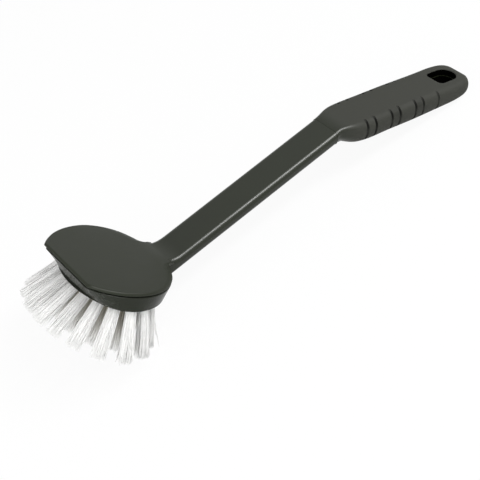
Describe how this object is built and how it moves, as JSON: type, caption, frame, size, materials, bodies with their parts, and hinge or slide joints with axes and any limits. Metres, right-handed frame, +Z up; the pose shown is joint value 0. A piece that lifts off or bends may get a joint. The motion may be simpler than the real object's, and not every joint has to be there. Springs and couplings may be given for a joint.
{
  "type": "dish brush",
  "caption": "Long-handled dish brush with a wide head, straight scraper lip, splayed stiff white tufts, flat angled neck and a soft grooved grip with a hanging hole.",
  "frame": {"origin": "on the table under the middle of the brush's box, with the brush lying on its rear bristle tips and the end of its grip", "axes": "+X along the brush to the end of the grip, +Y across the head, +Z up from the table"},
  "size_m": [0.2964, 0.0808, 0.0635],
  "materials": {
    "handle_plastic": "satin moulded plastic, dark olive grey",
    "grip_rubber": "matte soft rubber, dark grey",
    "block_plastic": "satin moulded plastic, dark olive grey",
    "tuft_filament": "white slightly translucent filament",
    "wire_steel": "drawn flat wire"
  },
  "bodies": {
    "root": {"handle": "handle_plastic", "grip_sleeve": "grip_rubber", "bristle_block": "block_plastic", "tuft_outer_01": "tuft_filament", "tuft_outer_02": "tuft_filament", "tuft_outer_03": "tuft_filament", "tuft_outer_04": "tuft_filament", "tuft_outer_05": "tuft_filament", "tuft_outer_06": "tuft_filament", "tuft_outer_07": "tuft_filament", "tuft_outer_08": "tuft_filament", "tuft_outer_09": "tuft_filament", "tuft_outer_10": "tuft_filament", "tuft_outer_11": "tuft_filament", "tuft_outer_12": "tuft_filament", "tuft_outer_13": "tuft_filament", "tuft_outer_14": "tuft_filament", "tuft_outer_15": "tuft_filament", "tuft_outer_16": "tuft_filament", "tuft_outer_17": "tuft_filament", "tuft_outer_18": "tuft_filament", "tuft_middle_01": "tuft_filament", "tuft_middle_02": "tuft_filament", "tuft_middle_03": "tuft_filament", "tuft_middle_04": "tuft_filament", "tuft_middle_05": "tuft_filament", "tuft_middle_06": "tuft_filament", "tuft_middle_07": "tuft_filament", "tuft_middle_08": "tuft_filament", "tuft_middle_09": "tuft_filament", "tuft_middle_10": "tuft_filament", "tuft_middle_11": "tuft_filament", "tuft_inner_01": "tuft_filament", "tuft_inner_02": "tuft_filament", "tuft_inner_03": "tuft_filament", "tuft_inner_04": "tuft_filament", "anchor_wires": "wire_steel"}
  },
  "joints": []
}
